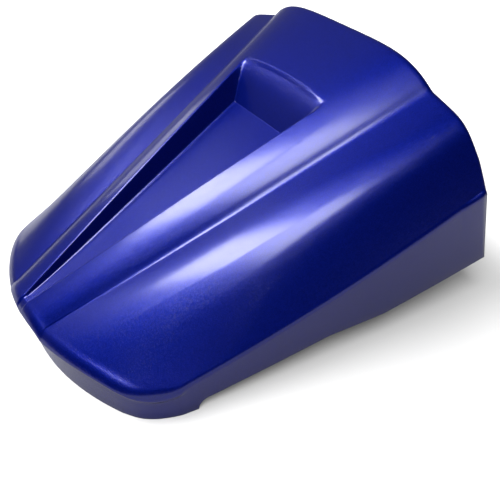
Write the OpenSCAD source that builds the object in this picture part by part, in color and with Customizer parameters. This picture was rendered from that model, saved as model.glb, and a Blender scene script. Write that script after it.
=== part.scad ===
// Rear seat cowl of a motorcycle: a painted, moulded shell that takes the pillion seat's place,
// screwed to a black moulded tray that carries the tongues, the latch striker and the dampers.
// +X is to the right, +Y towards the front of the motorcycle, +Z up, and z = 0 is the surface
// that the cowl stands on with its tail skirt and its two tongues.

/* [Overall] */
// Length, from the nose of the tail lip to the foot of the front wall
cowl_l = 274; // [250:1:320]
// Wall of the moulded shell
wall = 2.8; // [2:0.1:3.6]

/* [Tail] */
// Half width between the tail corners
tail_half_w = 98; // [80:1:118]
// Height of the skirt crease at the tail corners
tail_corner_z = 23; // [19:0.5:28]
// How far the tail corners lie ahead of the nose
tail_sweep = 36; // [28:1:44]
// How far the tail lip reaches out past the panels
lip_reach = 6; // [4:0.5:8]
// Slope at which the panels run into the lip, in degrees
lip_slope = 22; // [15:1:30]
// Height of the upright band under the lip's round
lip_band = 2; // [1:0.25:3]
// Height over which the lip's underside runs back to the skirt
lip_under = 4; // [3:0.25:6]
// How far the tail skirt is set in under the lip, on the centre line
lip_undercut = 6; // [3:0.5:8]
// The same at the tail corners
corner_undercut = 2.5; // [1:0.25:4]

/* [Front] */
// Half width of the skirt crease at the front
front_half_w = 127; // [112:1:150]
// Height of the skirt crease at the front
front_corner_z = 97; // [80:1:115]
// Height of the front wall's foot at its corners
foot_z = 34; // [28:1:40]
// How far the foot's corners lie behind its middle
foot_bow = 3; // [1:0.5:6]
// Rise of the front wall's foot in its middle
foot_arch = 9; // [4:0.5:12]
// Rearward lean of the front wall, in degrees
front_lean = 17; // [12:1:22]
// How far the top of the front wall bulges forward in its middle
front_bulge = 12; // [8:0.5:16]
// Round between the panels and the front wall
front_round = 4; // [2:0.5:6]

/* [Creases] */
// Half width of the valley beside the hump, at the tail
valley_tail_x = 25; // [20:0.5:30]
// The same at the front
valley_front_x = 76.4; // [64:0.5:90]
// Height of the valley at the tail
valley_tail_z = 34; // [29:0.5:40]
// The same at the front
valley_front_z = 139; // [118:1:160]
// Sag of the valley halfway along
valley_sag = 1.2; // [0:0.1:3]
// Half width of the shoulder ridge, at the tail
shoulder_tail_x = 51; // [43:0.5:60]
// The same at the front
shoulder_front_x = 104; // [92:0.5:110]
// Outward bow of the shoulder halfway along
shoulder_bow = 5; // [2:0.5:8]
// Height of the shoulder at the tail
shoulder_tail_z = 35.5; // [30:0.5:42]
// The same at the front
shoulder_front_z = 132; // [112:1:150]
// Rise of the shoulder halfway along
shoulder_rise = 5.3; // [2:0.1:8]
// How much the shoulder's round takes off its height
shoulder_soft = 1; // [0.5:0.1:2]
// Outward bow of the skirt crease halfway along
crease_bow = 2.5; // [0:0.5:5]
// Sag of the skirt crease halfway along
crease_sag = 3; // [0:0.5:6]
// Reach of the round along the skirt crease
crease_round = 1.5; // [1:0.1:2.5]
// Slope of the side panel where it meets that round, in degrees
crease_slope = 50; // [40:1:60]
// Swell of the side panel between shoulder and skirt crease
panel_swell = 2; // [0:0.25:4]

/* [Hump] */
// Height of the hump over the valleys, at the tail
hump_tail_h = 5; // [4:0.25:6]
// The same at the front
hump_front_h = 16; // [13:0.5:20]
// Extra height of the hump halfway along
hump_swell = 1.7; // [0:0.1:3]
// Squareness of the hump's arch, 2 is an ellipse-like arch and more is flatter on top
hump_square = 4.8; // [3:0.1:6]

/* [Scoop] */
// Half width of the scoop where it runs out at the tail
scoop_tail_w = 3.5; // [2.5:0.25:5]
// Half width of the scoop at the top of its end ramp
scoop_half_w = 41.6; // [34:0.5:50]
// Half width of the floor for each unit of the scoop's half width
scoop_floor = 0.85; // [0.75:0.01:0.9]
// Depth of the scoop where its end ramp starts
scoop_depth = 17; // [13:0.5:20]
// Depth of the groove where the scoop runs out over the lip
scoop_groove = 1.2; // [0.8:0.1:2]
// How soon the floor dives, less is sooner
scoop_dive = 0.6; // [0.5:0.05:0.8]
// Distance from the nose to the foot of the end ramp
scoop_l = 179; // [150:1:200]
// Length of the end ramp
ramp_l = 18; // [14:1:24]
// Roundness of the top of the end ramp
ramp_round = 1.8; // [1.4:0.1:2.4]

/* [Lower edge] */
// Distance from the nose to the step in the lower edge
notch_s = 64.5; // [56:0.5:74]
// Length of the step's arc
notch_l = 8.5; // [6:0.5:11]
// Height of the step
notch_h = 8; // [6:0.5:10]
// Distance from the nose to the start of the level stretch
level_s = 150; // [125:1:170]
// Length of the level stretch
level_l = 40; // [30:1:50]
// Height of the level stretch
level_z = 20.5; // [17:0.5:24]
// How far the skirt's lower edge is drawn in from its crease
skirt_draft = 1; // [0.5:0.1:1.5]

/* [Tray] */
// Thickness of the tray's plate and walls
tray_t = 2.5; // [2:0.1:3.5]
// Height of the tray's underside over the floor at the nose
tray_tail_z = 5; // [4:0.25:6]
// How far the tray's underside lies over the front wall's foot
tray_over_foot = 8; // [6:0.5:10]
// Gap between the tray and the shell
tray_gap = 1.5; // [1:0.1:2.5]
// Height of the tray's rim over its plate
rim_h = 5; // [4:0.25:6]
// Depth of the ribs under the plate
rib_h = 6; // [4:0.5:8]
// Thickness of those ribs
rib_t = 2; // [1.6:0.1:2.4]
// Spacing of the ribs
rib_pitch = 32; // [27:1:38]

/* [Tongues] */
// Distance of each tongue from the centre line
tongue_x = 48; // [40:1:58]
// Width of a tongue
tongue_w = 24; // [20:1:29]
// Length of a tongue's toe
toe_l = 22; // [18:1:26]
// Thickness of the toe
toe_t = 6; // [5:0.25:7]
// Distance from the tip of the toe back from the foot of the front wall
toe_back = 8; // [6:0.5:10]
// Length of the tongue's root on the tray, back from the heel of the toe
root_l = 34; // [28:1:42]
// Thickness of a tongue's middle web
web_t = 4; // [3:0.25:5]
// Thickness of the skin round the pockets beside that web
pocket_skin = 2; // [1.6:0.1:3]
// Bevel on a toe's edges
toe_bevel = 1.5; // [1:0.1:2]

/* [Screws and bosses] */
// Distances of the screws from the nose, tail pair first
screw_s = [32, 104, 162, 228];
// Distance of the tail pair of screws from the centre line
screw_tail_x = 45; // [38:1:54]
// Distance from the skirt's inner face to a boss's axis
boss_in = 9; // [8:0.25:11]
// Outer diameter of a boss
boss_d = 8; // [7:0.25:9.5]
// Height of a boss over the tray's plate
boss_h = 13; // [11.5:0.25:14]
// Thickness of the web between boss and skirt
boss_web = 2; // [1.6:0.1:2.4]
// Depth of a boss's bore past the tip of its screw
bore_spare = 1; // [0.5:0.1:1.5]
// Diameter of a tray screw
screw_d = 4; // [3.5:0.1:4.5]
// Length of a tray screw under its head
screw_l = 12; // [10:0.5:12.5]
// Diameter of a screw's head
head_d = 8; // [7:0.25:9.5]
// Height of a screw's head
head_h = 2.6; // [2.2:0.1:3]
// Radial gap between a screw and its boss
bite_gap = 0.05; // [0.02:0.01:0.1]
// Radial gap between a screw and its hole in the tray
hole_gap = 0.35; // [0.25:0.05:0.6]

/* [Striker] */
// Distance from the nose to the striker
striker_s = 125; // [118:1:150]
// Diameter of the striker's rod
rod_d = 8; // [7:0.25:9]
// Distance between the axes of the striker's legs
leg_gap = 40; // [34:1:46]
// Depth of the striker's bar under the tray, axis to underside
bar_drop = 15; // [12.5:0.25:16]
// Bend radius at the rod's axis
bend_r = 9; // [8:0.25:10]
// Diameter of the collar on each leg
collar_d = 14; // [12:0.5:16]
// Height of that collar
collar_h = 2; // [1.5:0.25:3]
// Thickness of the backing plate over the tray
plate_t = 2; // [1.5:0.25:3]
// How far the backing plate reaches past each leg
plate_over = 13; // [11:0.5:16]
// Width of the backing plate
plate_w = 26; // [22:1:30]
// Outer diameter of a washer
washer_d = 16; // [14.5:0.5:19]
// Thickness of a washer
washer_t = 1.6; // [1.2:0.1:2]
// Width of a nut across its flats
nut_af = 13; // [12.5:0.5:15]
// Height of a nut
nut_h = 6.5; // [5.5:0.25:7.5]
// How far a leg stands out past its nut
leg_out = 3; // [2:0.5:5]
// Radial gap round the legs
leg_clear = 0.1; // [0.05:0.05:0.3]

/* [Dampers] */
// Distances of the dampers from the nose, rear pair first
damper_s = [136, 204];
// Distance from the skirt's inner face to a damper's axis
damper_in = 34; // [28:1:44]
// Diameter of a damper's pad
pad_d = 18; // [15:0.5:21]
// Height of a damper's pad
pad_h = 12; // [10:0.5:14]
// Diameter of the neck in the tray's hole
neck_d = 8; // [7:0.25:9]
// Diameter of the snap head over the tray
snap_d = 11; // [10:0.25:12.5]
// Height of the snap head
snap_h = 5; // [4:0.25:6]
// Bevel on the pad's foot and height of the snap head's upright edge
pad_bevel = 1; // [0.5:0.25:2]

/* [Hidden] */
PAIRS = ["left", "right"];

paint = [0.05, 0.06, 0.55];
moulding = [0.07, 0.07, 0.08];
zinc = [0.72, 0.73, 0.75];
rubber = [0.11, 0.11, 0.11];

$fn = 48;
eps = 0.01;
LEFT = -1;
RIGHT = 1;

function mix(a, b, t) = a + (b - a) * t;
function bowed(a, b, rise, t) = mix(a, b, t) + 4 * rise * t * (1 - t);
function unit(p) = p / norm(p);
function clamp(t) = max(0, min(1, t));

// Creases, as half width and height over the share v of the way from tail to front
function valley_x(v) = mix(valley_tail_x, valley_front_x, v);
function valley_z(v) = bowed(valley_tail_z, valley_front_z, -valley_sag, v);
function shoulder_x(v) = bowed(shoulder_tail_x, shoulder_front_x, shoulder_bow, v);
function shoulder_z(v) = bowed(shoulder_tail_z, shoulder_front_z, shoulder_rise, v);
function crease_x(v) = bowed(tail_half_w, front_half_w, crease_bow, v);
function crease_z(v) = bowed(tail_corner_z, front_corner_z, -crease_sag, v);

// Hump between the valleys: an arch that is squarer than an ellipse
function hump_h(v) = bowed(hump_tail_h, hump_front_h, hump_swell, v);
function arch_z(x, v) = valley_z(v) + hump_h(v) * (1 - pow(min(1, x / valley_x(v)), hump_square));

// Ends of the panels: the tail is swept back as a parabola, the front leans and bulges
foot_s = cowl_l - foot_bow;
hump_top_z = valley_front_z + hump_front_h;
function tail_s(x) = lip_reach + tail_sweep * pow(x / tail_half_w, 2);
function front_s(x, z) = foot_s - front_round - tan(front_lean) * (z - foot_z)
    + front_bulge * max(0, 1 - pow(x / shoulder_front_x, 2));

// Scoop: a wedge cut into the hump, with an end ramp whose top is rounded
scoop_run = front_s(0, hump_top_z) - tail_s(0);
v_base = (scoop_l - tail_s(0)) / scoop_run;
v_top = v_base + ramp_l / scoop_run;
floor_end_share = 0.96;
bevel_x_share = 0.72;
bevel_z_share = 0.88;
function ramp(v) = 1 - pow(1 - clamp((v - v_base) / (v_top - v_base)), ramp_round);
function lip_x(v) = mix(scoop_tail_w, scoop_half_w, v / v_top);
function dive(v) = mix(scoop_groove, scoop_depth, pow(min(1, v / v_base), scoop_dive));
function scoop_section(v) = let(
    lip = [lip_x(v), arch_z(lip_x(v), v)],
    edge_x = lip[0] * mix(scoop_floor, floor_end_share, ramp(v)),
    sunk = lip[1] - dive(v),
    edge = [edge_x, mix(sunk, arch_z(edge_x, v), ramp(v))],
    bevel = [mix(edge[0], lip[0], bevel_x_share), mix(edge[1], lip[1], bevel_z_share)])
    [[0, mix(sunk, arch_z(0, v), ramp(v))], edge, bevel, lip];

// Half a cross-section, from the centre line out to the skirt crease, as pairs of x and z
flank_shares = [0.3, 0.6, 0.85, 1];
band_shares = [0.5, 0.88, 1];
panel_shares = [0.12, 0.4, 0.7, 1];
function half_section(v) = concat(
    scoop_section(v),
    [for (t = flank_shares) let(x = mix(lip_x(v), valley_x(v), t)) [x, arch_z(x, v)]],
    [for (t = band_shares) [mix(valley_x(v), shoulder_x(v), t),
        mix(valley_z(v), shoulder_z(v), t) - (t == 1 ? shoulder_soft : 0)]],
    [for (t = panel_shares) [mix(shoulder_x(v), crease_x(v), t),
        bowed(shoulder_z(v), crease_z(v), panel_swell, t)]]);

// Lower edge of the skirt: a step near the tail, then a rise, a level stretch and a rise
function edge_z(s) =
    s <= notch_s ? 0 :
    s <= notch_s + notch_l ? notch_h * sqrt(1 - pow(1 - (s - notch_s) / notch_l, 2)) :
    s <= level_s ? mix(notch_h, level_z, (s - notch_s - notch_l) / (level_s - notch_s - notch_l)) :
    s <= level_s + level_l ? level_z :
    mix(level_z, foot_z, (s - level_s - level_l) / (foot_s - level_s - level_l));

// Stations from tail to front, closer together at the step and on the scoop's ramp
corner_s = tail_s(tail_half_w);
v_notch = (notch_s - corner_s) / (foot_s - corner_s);
v_past = v_notch + notch_l / (foot_s - corner_s);
stations = concat(
    [for (i = [0:2]) v_notch * i / 3],
    [for (a = [0, 35, 65, 90]) mix(v_notch, v_past, 1 - cos(a))],
    [for (i = [1:10]) mix(v_past, v_base, i / 10)],
    [for (i = [1:4]) mix(v_base, v_top, i / 4)],
    [for (i = [1:4]) mix(v_top, 1, i / 4)]);
J = len(stations) - 1;
sections = [for (v = stations) half_section(v)];
K = len(sections[0]) - 1;

// Outer face of the panels: row i runs from left to right, column j from tail to front
function panel_point(k, j) = let(
    p = sections[j][abs(k)],
    tail = sections[0][abs(k)],
    front = sections[J][abs(k)])
    [sign(k) * p[0], mix(tail_s(tail[0]), front_s(front[0], front[1]), stations[j]), p[1]];
panels = [for (k = [-K:K]) [for (j = [0:J]) panel_point(k, j)]];

// The panels' border, walked round once: tail, right side, front, left side
border = concat(
    [for (i = [0:2 * K]) [i, 0]],
    [for (j = [1:J]) [2 * K, j]],
    [for (i = [2 * K - 1:-1:0]) [i, J]],
    [for (j = [J - 1:-1:1]) [0, j]]);
L = len(border);
function border_point(q) = panels[border[(q + L) % L][0]][border[(q + L) % L][1]];
function front_slope(x) = abs(x) < shoulder_front_x ? 2 * front_bulge * x / pow(shoulder_front_x, 2) : 0;
function edge_out(q) = let(a = border_point(q), b = border_point(q + 1), d = b - a)
    border[(q + L) % L][1] == J && border[(q + L + 1) % L][1] == J ?
    unit([front_slope((a[0] + b[0]) / 2), 1, 0]) : unit([d[1], -d[0], 0]);
out_dir = [for (q = [0:L - 1]) unit(edge_out(q) + edge_out(q - 1))];
out_mitre = [for (q = [0:L - 1]) out_dir[q] / (out_dir[q] * edge_out(q))];

// Shares of the tail lip's form and of the front's form at each place of the border
tail_fade = 0.8;
front_fade = 0.93;
side_fade = 0.08;
tail_share = [for (b = border) let(v = stations[b[1]], c = abs(panels[b[0]][0][0]) / tail_half_w)
    b[1] == 0 ? mix(1, 0.5, clamp((c - tail_fade) / (1 - tail_fade))) :
    b[1] == J ? 0 : 0.5 * (1 - clamp(v / side_fade))];
front_share = [for (b = border) let(v = stations[b[1]], c = abs(panels[b[0]][J][0]) / front_half_w)
    b[1] == J ? mix(1, 0.5, clamp((c - front_fade) / (1 - front_fade))) :
    b[1] == 0 ? 0 : 0.5 * (1 - clamp((1 - v) / side_fade))];
function blend(q, tail, front, side) = tail * tail_share[q] + front * front_share[q]
    + side * (1 - tail_share[q] - front_share[q]);

// Edge round: an arc from the panel's slope to upright, then the lip's band and undercut
ROUNDS = 3;
RINGS = ROUNDS + 4;
function undercut(q) = mix(lip_undercut, corner_undercut, abs(border_point(q)[0]) / tail_half_w);
function round_point(q, share) = let(
    a0 = blend(q, lip_slope, -lip_slope, crease_slope),
    r = blend(q, lip_reach, front_round, crease_round) / (1 - sin(a0)),
    a = mix(a0, 90, share))
    border_point(q) + out_dir[q] * r * (sin(a) - sin(a0)) - [0, 0, r * (cos(a0) - cos(a))];
function foot_point(q) = let(
    b = border[q],
    p = border_point(q),
    side_x = abs(p[0]) + crease_round - skirt_draft,
    side_y = mix(corner_s, foot_s, stations[b[1]]),
    front_x = p[0] * (1 + (crease_round - skirt_draft) / front_half_w),
    f = abs(p[0]) / front_half_w,
    tail = p + out_dir[q] * (blend(q, lip_reach, front_round, crease_round) - undercut(q)))
    b[1] == 0 ? [tail[0], tail[1], edge_z(tail[1])] :
    b[1] == J ? [front_x, cowl_l - foot_bow * f * f, foot_z + foot_arch * (1 - pow(f, 4))] :
    [sign(p[0]) * side_x, side_y, edge_z(side_y)];
feet = [for (q = [0:L - 1]) foot_point(q)];
lip_back = [0, 0.6, 1];
lip_fall = [0, 0.375, 1];
fall = [0.03, 0.07, 0.13];
function under_point(q, n) = let(
    top = round_point(q, 1),
    lip = top - out_dir[q] * undercut(q) * lip_back[n] - [0, 0, lip_band + lip_under * lip_fall[n]],
    plain = mix(top, feet[q], fall[n]),
    share = clamp(2 * tail_share[q]))
    mix(plain, lip, share);
function ring_point(q, r) =
    r <= ROUNDS ? round_point(q, r / ROUNDS) :
    r < RINGS ? under_point(q, r - ROUNDS - 1) : feet[q];
rings = [for (r = [0:RINGS]) [for (q = [0:L - 1]) ring_point(q, r)]];

// Inner face of the panels: square to the outer face, and set outwards along the scoop's walls
scoop_lines = 3;
set_out = [0, 0.75, 0.8, 0.9];
set_down = [1, 1, 1.2, 1.25];
function set_in(i, j) = let(
    k = abs(i - K),
    along = panels[i][min(J, j + 1)] - panels[i][max(0, j - 1)],
    across = panels[min(2 * K, i + 1)][j] - panels[max(0, i - 1)][j],
    open = 1 - ramp(stations[j]),
    up = unit([0, -along[2], along[1]]))
    k == K && j == J ? unit(cross(across, along)) + [0, 1, 0] :
    k > scoop_lines || open == 0 ? unit(cross(across, along)) :
    mix(1, set_down[k], open) * up - [sign(i - K) * set_out[k] * open, 0, 0];

// Inner face of the border's rings: it turns from the panels' to level, stays clear of the steep
// side panels behind the front wall, and passes the tail's lip straight, so that the lip is solid
function beside(q, top, share) = let(b = border[q])
    b[1] == J && b[0] > 0 && b[0] < 2 * K ? [top[0] * share, 0, 0] : [0, 0, 0];
function inner_ring(q, r) = let(
    p = rings[r][q],
    top = set_in(border[q][0], border[q][1]),
    turn = r / ROUNDS,
    past = (r - ROUNDS) / (RINGS - ROUNDS - 1))
    r < ROUNDS ? p - wall * (mix(top, out_mitre[q], turn) + beside(q, top, turn)) :
    r >= RINGS - 1 ? p - wall * out_mitre[q] :
    mix(p - wall * (out_mitre[q] + beside(q, top, 1 - past)),
        mix(inner_ring(q, ROUNDS - 1), inner_ring(q, RINGS - 1), (past + 0.3) / 1.3),
        clamp(2 * tail_share[q]));

// Mesh of the shell: outer panels, outer rings, then the same inside
PANEL_COUNT = (2 * K + 1) * (J + 1);
FACE_COUNT = PANEL_COUNT + RINGS * L;
function panel_index(side, i, j) = side * FACE_COUNT + i * (J + 1) + j;
function ring_index(side, r, q) = let(b = border[(q + L) % L])
    r == 0 ? panel_index(side, b[0], b[1]) :
    side * FACE_COUNT + PANEL_COUNT + (r - 1) * L + (q + L) % L;
shell_points = concat(
    [for (i = [0:2 * K]) for (j = [0:J]) panels[i][j]],
    [for (r = [1:RINGS]) for (q = [0:L - 1]) rings[r][q]],
    [for (i = [0:2 * K]) for (j = [0:J])
        panels[i][j] - wall * set_in(i, j)],
    [for (r = [1:RINGS]) for (q = [0:L - 1]) inner_ring(q, r)]);
function quad(a, b, c, d, turned) = turned ? [[a, c, b], [a, d, c]] : [[a, d, b], [b, d, c]];
function flip(tri) = [tri[2], tri[1], tri[0]];
function skin(side) = concat(
    [for (i = [0:2 * K - 1]) for (j = [0:J - 1]) each quad(
        panel_index(side, i, j), panel_index(side, i + 1, j),
        panel_index(side, i + 1, j + 1), panel_index(side, i, j + 1), i < K)],
    [for (r = [0:RINGS - 1]) for (q = [0:L - 1]) each quad(
        ring_index(side, r, q), ring_index(side, r + 1, q),
        ring_index(side, r + 1, q + 1), ring_index(side, r, q + 1), q < K || q > L / 2 + K)]);
shell_faces = concat(
    skin(0),
    [for (tri = skin(1)) flip(tri)],
    [for (q = [0:L - 1]) each quad(
        ring_index(0, RINGS, q), ring_index(1, RINGS, q),
        ring_index(1, RINGS, q + 1), ring_index(0, RINGS, q + 1), false)]);

// Tray: a plate on a sloping plane, its outline set in from the foot of the skirt
tray_slope = atan((foot_z + tray_over_foot - tray_tail_z) / cowl_l);
function tray_z(s) = tray_tail_z + s * tan(tray_slope);
rim_lean = (tray_over_foot + tray_t + rim_h) * (tan(front_lean) + tan(tray_slope));
function inset_point(q, extra) = let(
    back = rim_lean * stations[border[q][1]],
    p = feet[q] - out_mitre[q] * (wall + tray_gap + extra) - [0, back, 0])
    [p[0], p[1] / cos(tray_slope)];
tray_step = 2;
function tray_outline(extra) = [for (q = [0:tray_step:L - 1]) inset_point(q, extra)];

// Places the children on the tray's underside, at a distance x from the centre and s from the nose
module on_tray(x, s) {
    translate([x, s - cowl_l / 2, tray_z(s)]) rotate([tray_slope, 0, 0]) children();
}

// Screw places: the tail pair by its own distance, the others beside the skirt
function skirt_x(s) = let(v = clamp((s - corner_s) / (foot_s - corner_s)))
    crease_x(v) + crease_round - skirt_draft;
function screw_x(n) = n == 0 ? screw_tail_x : skirt_x(screw_s[n]) - wall - boss_in;
function damper_x(s) = skirt_x(s) - wall - damper_in;

// Hollow boss with a web to the skirt, moulded with the shell
module boss(side, n) {
    web_z = tray_t + rim_h + tray_gap;
    reach = boss_in + wall / 2;
    turn = n == 0 ? -90 : side == LEFT ? 180 : 0;
    tail_reach = screw_s[0] - tail_s(screw_tail_x) + lip_reach - wall / 2
        - mix(lip_undercut, corner_undercut, screw_tail_x / tail_half_w);
    on_tray(side * screw_x(n), screw_s[n]) difference() {
        union() {
            translate([0, 0, tray_t]) cylinder(h = boss_h, d = boss_d);
            rotate([0, 0, turn]) translate([0, -boss_web / 2, web_z])
                cube([n == 0 ? tail_reach : reach, boss_web, tray_t + boss_h - web_z]);
        }
        translate([0, 0, -eps]) cylinder(h = screw_l + bore_spare + eps, r = screw_d / 2 + bite_gap);
    }
}

module cowl_shell() {
    color(paint) union() {
        translate([0, -cowl_l / 2, 0]) polyhedron(points = shell_points, faces = shell_faces);
        for (side = [LEFT, RIGHT], n = [0:3]) boss(side, n);
    }
}

// Tongue in side view, as distances from the nose and heights: leg, toe and root on the tray
toe_tip = foot_s - toe_back;
heel = toe_tip - toe_l;
function tongue_profile() = [
    [heel - root_l, tray_z(heel - root_l) + tray_t / 2],
    [heel - toe_t, toe_bevel],
    [heel - toe_t + toe_bevel, 0],
    [toe_tip - toe_bevel, 0],
    [toe_tip, toe_bevel],
    [toe_tip, toe_t - toe_bevel],
    [toe_tip - toe_bevel, toe_t],
    [heel + toe_bevel, toe_t + toe_bevel],
    [heel, toe_t + 2 * toe_bevel],
    [heel + toe_t, tray_z(heel + toe_t) + tray_t / 2]];
function pocket_profile() = [
    [heel - root_l + 2 * toe_t, tray_z(heel - root_l + 2 * toe_t) - pocket_skin],
    [heel - toe_t / 2, toe_t],
    [heel - toe_bevel, toe_t + 2 * toe_bevel],
    [heel, tray_z(heel) - pocket_skin]];

module tongue(side) {
    pocket = (tongue_w - web_t) / 2;
    translate([side * tongue_x - tongue_w / 2, -cowl_l / 2, 0]) rotate([90, 0, 90]) difference() {
        linear_extrude(tongue_w) polygon(tongue_profile());
        translate([0, 0, -eps]) linear_extrude(pocket) polygon(pocket_profile());
        translate([0, 0, tongue_w - pocket]) linear_extrude(pocket + eps) polygon(pocket_profile());
    }
}

// Fastening places on one side, each with its hole in the plate and its clearing among the ribs
function tray_places() = concat(
    [for (n = [0:3]) [screw_x(n), screw_s[n], screw_d / 2 + hole_gap, head_d / 2 + tray_gap]],
    [for (s = damper_s) [damper_x(s), s, neck_d / 2 + leg_clear, pad_d / 2 + tray_gap]],
    [[leg_gap / 2, striker_s, rod_d / 2 + leg_clear, collar_d / 2 + tray_gap]]);

module tray_ribs() {
    across = 2 * front_half_w;
    depth = rib_h + tray_t / 2;
    difference() {
        on_tray(0, 0) intersection() {
            translate([0, 0, -rib_h]) linear_extrude(depth) polygon(tray_outline(tray_t));
            union() {
                for (n = [-2.5:2.5]) translate([n * rib_pitch - rib_t / 2, 0, -rib_h])
                    cube([rib_t, cowl_l, depth]);
                for (n = [-1.5:2.5]) translate([-across / 2, striker_s + n * rib_pitch, -rib_h])
                    cube([across, rib_t, depth]);
            }
        }
        for (side = [LEFT, RIGHT], place = tray_places()) on_tray(side * place[0], place[1])
            translate([0, 0, -rib_h - eps]) cylinder(h = depth + 2 * eps, r = place[3]);
    }
}

module under_tray() {
    color(moulding) difference() {
        union() {
            on_tray(0, 0) difference() {
                linear_extrude(tray_t + rim_h) polygon(tray_outline(0));
                translate([0, 0, tray_t]) linear_extrude(rim_h + eps) polygon(tray_outline(tray_t));
            }
            tray_ribs();
            for (side = [LEFT, RIGHT]) tongue(side);
        }
        for (side = [LEFT, RIGHT], place = tray_places()) on_tray(side * place[0], place[1])
            translate([0, 0, -rib_h]) cylinder(h = rib_h + tray_t + eps, r = place[2]);
    }
}

module latch_striker() {
    corner = leg_gap / 2 - bend_r;
    leg_top = tray_t + plate_t + washer_t + nut_h + leg_out;
    color(zinc) on_tray(0, striker_s) {
        translate([-corner, 0, -bar_drop]) rotate([0, 90, 0]) cylinder(h = 2 * corner, d = rod_d);
        for (side = [LEFT, RIGHT]) {
            translate([side * corner, 0, bend_r - bar_drop]) rotate([90, 0, 0])
                rotate([0, 0, side == LEFT ? 180 : 270])
                rotate_extrude(angle = 90) translate([bend_r, 0]) circle(d = rod_d);
            translate([side * leg_gap / 2, 0, bend_r - bar_drop])
                cylinder(h = bar_drop - bend_r + leg_top, d = rod_d);
            translate([side * leg_gap / 2, 0, -collar_h]) cylinder(h = collar_h, d = collar_d);
        }
    }
}

module striker_plate() {
    plate_l = leg_gap + 2 * plate_over;
    color(zinc) on_tray(0, striker_s) translate([0, 0, tray_t]) difference() {
        translate([-plate_l / 2, -plate_w / 2, 0]) cube([plate_l, plate_w, plate_t]);
        for (side = [LEFT, RIGHT]) translate([side * leg_gap / 2, 0, -eps])
            cylinder(h = plate_t + 2 * eps, r = rod_d / 2 + leg_clear);
    }
}

module striker_washer(side) {
    color(zinc) on_tray(side * leg_gap / 2, striker_s) translate([0, 0, tray_t + plate_t])
        difference() {
            cylinder(h = washer_t, d = washer_d);
            translate([0, 0, -eps]) cylinder(h = washer_t + 2 * eps, r = rod_d / 2 + leg_clear);
        }
}

module striker_nut(side) {
    color(zinc) on_tray(side * leg_gap / 2, striker_s)
        translate([0, 0, tray_t + plate_t + washer_t]) difference() {
            cylinder(h = nut_h, d = nut_af / cos(30), $fn = 6);
            translate([0, 0, -eps]) cylinder(h = nut_h + 2 * eps, r = rod_d / 2 + bite_gap);
        }
}

module damper(side, s) {
    color(rubber) on_tray(side * damper_x(s), s) rotate_extrude() polygon([
        [0, -pad_h], [pad_d / 2 - pad_bevel, -pad_h], [pad_d / 2, pad_bevel - pad_h],
        [pad_d / 2, 0], [neck_d / 2, 0], [neck_d / 2, tray_t],
        [snap_d / 2, tray_t], [snap_d / 2, tray_t + pad_bevel], [neck_d / 4, tray_t + snap_h],
        [0, tray_t + snap_h]]);
}

// Pan-head screw from below, with a cross recess and a plain shank where its thread would be
module tray_screw(side, n) {
    slot = screw_d / 4;
    tip = screw_d / 10;
    color(zinc) on_tray(side * screw_x(n), screw_s[n]) difference() {
        rotate_extrude() polygon([
            [0, -head_h], [head_d / 4, -head_h], [head_d / 2 - tip, -head_h / 2], [head_d / 2, 0],
            [screw_d / 2, 0], [screw_d / 2, screw_l - screw_d / 2], [tip, screw_l], [0, screw_l]]);
        for (turn = [0, 90]) rotate([0, 0, turn]) translate([-screw_d / 2, -slot / 2, -head_h - eps])
            cube([screw_d, slot, head_h / 2]);
    }
}

cowl_shell();
under_tray();
latch_striker();
striker_plate();
striker_washer(LEFT);  // striker_washer_left
striker_washer(RIGHT);  // striker_washer_right
striker_nut(LEFT);  // striker_nut_left
striker_nut(RIGHT);  // striker_nut_right
damper(LEFT, damper_s[0]);  // damper_rear_left
damper(RIGHT, damper_s[0]);  // damper_rear_right
damper(LEFT, damper_s[1]);  // damper_front_left
damper(RIGHT, damper_s[1]);  // damper_front_right
tray_screw(LEFT, 0);  // tray_screw_left_1
tray_screw(LEFT, 1);  // tray_screw_left_2
tray_screw(LEFT, 2);  // tray_screw_left_3
tray_screw(LEFT, 3);  // tray_screw_left_4
tray_screw(RIGHT, 0);  // tray_screw_right_1
tray_screw(RIGHT, 1);  // tray_screw_right_2
tray_screw(RIGHT, 2);  // tray_screw_right_3
tray_screw(RIGHT, 3);  // tray_screw_right_4
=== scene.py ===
"""Rear seat cowl of a motorcycle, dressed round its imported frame, in metres."""

import math

import bpy
import numpy as np
from bpy.props import FloatProperty, FloatVectorProperty, PointerProperty
from bpy.types import Operator, Panel, PropertyGroup
from mathutils import Matrix, Vector


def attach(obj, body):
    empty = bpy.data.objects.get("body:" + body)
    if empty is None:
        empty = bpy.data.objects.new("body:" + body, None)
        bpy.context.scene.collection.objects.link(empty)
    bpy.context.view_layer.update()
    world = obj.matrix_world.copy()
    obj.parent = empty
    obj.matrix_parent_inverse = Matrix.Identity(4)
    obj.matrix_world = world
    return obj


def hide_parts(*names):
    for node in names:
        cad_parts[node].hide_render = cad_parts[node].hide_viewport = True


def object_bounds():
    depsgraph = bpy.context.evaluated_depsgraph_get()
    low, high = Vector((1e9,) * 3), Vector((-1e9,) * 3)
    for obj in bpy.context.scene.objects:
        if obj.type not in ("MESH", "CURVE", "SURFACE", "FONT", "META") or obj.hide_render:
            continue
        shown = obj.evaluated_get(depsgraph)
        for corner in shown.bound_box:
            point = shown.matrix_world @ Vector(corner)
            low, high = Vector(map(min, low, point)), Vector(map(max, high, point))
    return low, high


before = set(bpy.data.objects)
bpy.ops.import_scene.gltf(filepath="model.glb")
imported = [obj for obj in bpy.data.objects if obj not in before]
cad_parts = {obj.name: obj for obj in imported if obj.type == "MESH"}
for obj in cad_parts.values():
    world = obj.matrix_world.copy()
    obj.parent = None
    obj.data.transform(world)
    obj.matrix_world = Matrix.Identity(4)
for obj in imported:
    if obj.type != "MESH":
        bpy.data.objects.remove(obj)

CAD_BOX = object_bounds()

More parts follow.
